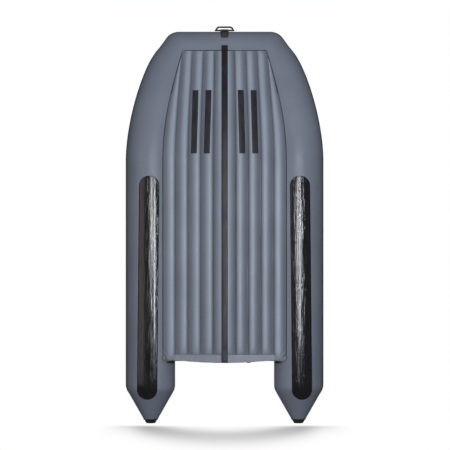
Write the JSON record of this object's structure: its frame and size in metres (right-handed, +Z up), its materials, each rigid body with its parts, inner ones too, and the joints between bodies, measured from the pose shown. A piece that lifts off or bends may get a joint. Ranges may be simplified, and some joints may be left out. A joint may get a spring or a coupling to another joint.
{
  "type": "inflatable dinghy",
  "caption": "Inflatable dinghy with a ribbed inflatable floor, upturned bow, stern cones, wear strips, plywood transom and sliding bench.",
  "frame": {"origin": "under the middle of the boat's overall length and beam, at the lowest point of the wear strips", "axes": "+Z up, -Y toward the bow, +X toward the port side"},
  "size_m": [1.66, 3.345, 0.663],
  "materials": {
    "tube_fabric": "coated fabric, satin",
    "floor_fabric": "coated fabric, satin",
    "black_rubber": "smooth, glossy",
    "ring_metal": "black, satin",
    "transom_wood": "painted plywood, satin",
    "bench_wood": "varnished plywood",
    "aluminium": "satin",
    "grey_plastic": "moulded, satin",
    "black_plastic": "moulded, ribbed",
    "valve_plastic": "moulded, satin"
  },
  "bodies": {
    "hull": {"air_baffle_port": "tube_fabric", "air_baffle_starboard": "tube_fabric", "bench_rail_port": "black_rubber", "bench_rail_starboard": "black_rubber", "bow_carry_handle": "black_rubber", "bow_quarter_tube_port": "tube_fabric", "bow_quarter_tube_starboard": "tube_fabric", "bow_ring_holder": "black_rubber", "bow_tube": "tube_fabric", "bow_valve_body": "valve_plastic", "cone_cap_port": "black_rubber", "cone_cap_starboard": "black_rubber", "drain_body": "black_plastic", "floor_chamber_port_1": "floor_fabric", "floor_chamber_port_2": "floor_fabric", "floor_chamber_port_3": "floor_fabric", "floor_chamber_port_4": "floor_fabric", "floor_chamber_starboard_1": "floor_fabric", "floor_chamber_starboard_2": "floor_fabric", "floor_chamber_starboard_3": "floor_fabric", "floor_chamber_starboard_4": "floor_fabric", "floor_stern_flap": "floor_fabric", "floor_valve_body": "valve_plastic", "keel_chamber": "floor_fabric", "keel_strip": "black_rubber", "motor_pad_inner": "black_plastic", "motor_pad_outer": "black_plastic", "rowlock_base_port": "black_rubber", "rowlock_base_starboard": "black_rubber", "rubbing_strake_port": "black_rubber", "rubbing_strake_starboard": "black_rubber", "side_tube_port": "tube_fabric", "side_tube_starboard": "tube_fabric", "side_valve_body_port": "valve_plastic", "side_valve_body_starboard": "valve_plastic", "skid_bar_inner_port": "black_rubber", "skid_bar_inner_starboard": "black_rubber", "skid_bar_outer_port": "black_rubber", "skid_bar_outer_starboard": "black_rubber", "stern_cone_port": "tube_fabric", "stern_cone_starboard": "tube_fabric", "transom_board": "transom_wood", "transom_holder_port": "black_rubber", "transom_holder_starboard": "black_rubber", "wear_strip_port": "black_rubber", "wear_strip_starboard": "black_rubber"},
    "bow_ring": {"bow_ring": "ring_metal"},
    "bench": {"bench_board": "bench_wood", "bench_hooks": "aluminium"},
    "rowlock_port": {"rowlock_port": "grey_plastic"},
    "rowlock_starboard": {"rowlock_starboard": "grey_plastic"},
    "drain_plug": {"drain_plug": "black_plastic"},
    "side_valve_cap_port": {"side_valve_cap_port": "valve_plastic"},
    "side_valve_plunger_port": {"side_valve_plunger_port": "valve_plastic"},
    "side_valve_cap_starboard": {"side_valve_cap_starboard": "valve_plastic"},
    "side_valve_plunger_starboard": {"side_valve_plunger_starboard": "valve_plastic"},
    "bow_valve_cap": {"bow_valve_cap": "valve_plastic"},
    "bow_valve_plunger": {"bow_valve_plunger": "valve_plastic"},
    "floor_valve_cap": {"floor_valve_cap": "valve_plastic"},
    "floor_valve_plunger": {"floor_valve_plunger": "valve_plastic"}
  },
  "joints": [
    {"name": "bow_ring_swing", "type": "hinge", "parent": "hull", "child": "bow_ring", "pos_m": [0, -1.6365, 0.394], "axis": [1, 0, 0], "range_deg": [-80, 80]},
    {"name": "bench_slide", "type": "slide", "parent": "hull", "child": "bench", "axis": [0, 1, 0], "range_m": [-0.38, 0.38]},
    {"name": "rowlock_port_swivel", "type": "hinge", "parent": "hull", "child": "rowlock_port", "pos_m": [0.62, -0.0675, 0.423], "axis": [0, 0, 1], "continuous": true},
    {"name": "side_valve_cap_port_flip", "type": "hinge", "parent": "hull", "child": "side_valve_cap_port", "pos_m": [0.50735, 0.9325, 0.38892], "axis": [0, 1, 0], "range_deg": [0, 120]},
    {"name": "side_valve_plunger_port_push", "type": "slide", "parent": "hull", "child": "side_valve_plunger_port", "axis": [0.6428, 0, -0.766], "range_m": [0, 0.005], "stiffness_N_per_m": 900},
    {"name": "rowlock_starboard_swivel", "type": "hinge", "parent": "hull", "child": "rowlock_starboard", "pos_m": [-0.62, -0.0675, 0.423], "axis": [0, 0, 1], "continuous": true},
    {"name": "side_valve_cap_starboard_flip", "type": "hinge", "parent": "hull", "child": "side_valve_cap_starboard", "pos_m": [-0.50735, 0.9325, 0.38892], "axis": [0, -1, 0], "range_deg": [0, 120]},
    {"name": "side_valve_plunger_starboard_push", "type": "slide", "parent": "hull", "child": "side_valve_plunger_starboard", "axis": [-0.6428, 0, -0.766], "range_m": [0, 0.005], "stiffness_N_per_m": 900},
    {"name": "bow_valve_cap_flip", "type": "hinge", "parent": "hull", "child": "bow_valve_cap", "pos_m": [0.15, -1.26389, 0.55035], "axis": [-1, 0, 0], "range_deg": [0, 120]},
    {"name": "bow_valve_plunger_push", "type": "slide", "parent": "hull", "child": "bow_valve_plunger", "axis": [0, -0.6428, -0.766], "range_m": [0, 0.005], "stiffness_N_per_m": 900},
    {"name": "floor_valve_cap_flip", "type": "hinge", "parent": "hull", "child": "floor_valve_cap", "pos_m": [0.03, -0.3275, 0.09], "axis": [0, 1, 0], "range_deg": [0, 120]},
    {"name": "floor_valve_plunger_push", "type": "slide", "parent": "hull", "child": "floor_valve_plunger", "axis": [0, 0, -1], "range_m": [0, 0.005], "stiffness_N_per_m": 900},
    {"name": "drain_plug_turn", "type": "hinge", "parent": "hull", "child": "drain_plug", "pos_m": [0.2, 1.1295, 0.066], "axis": [0, 1, 0], "range_deg": [0, 90]}
  ]
}
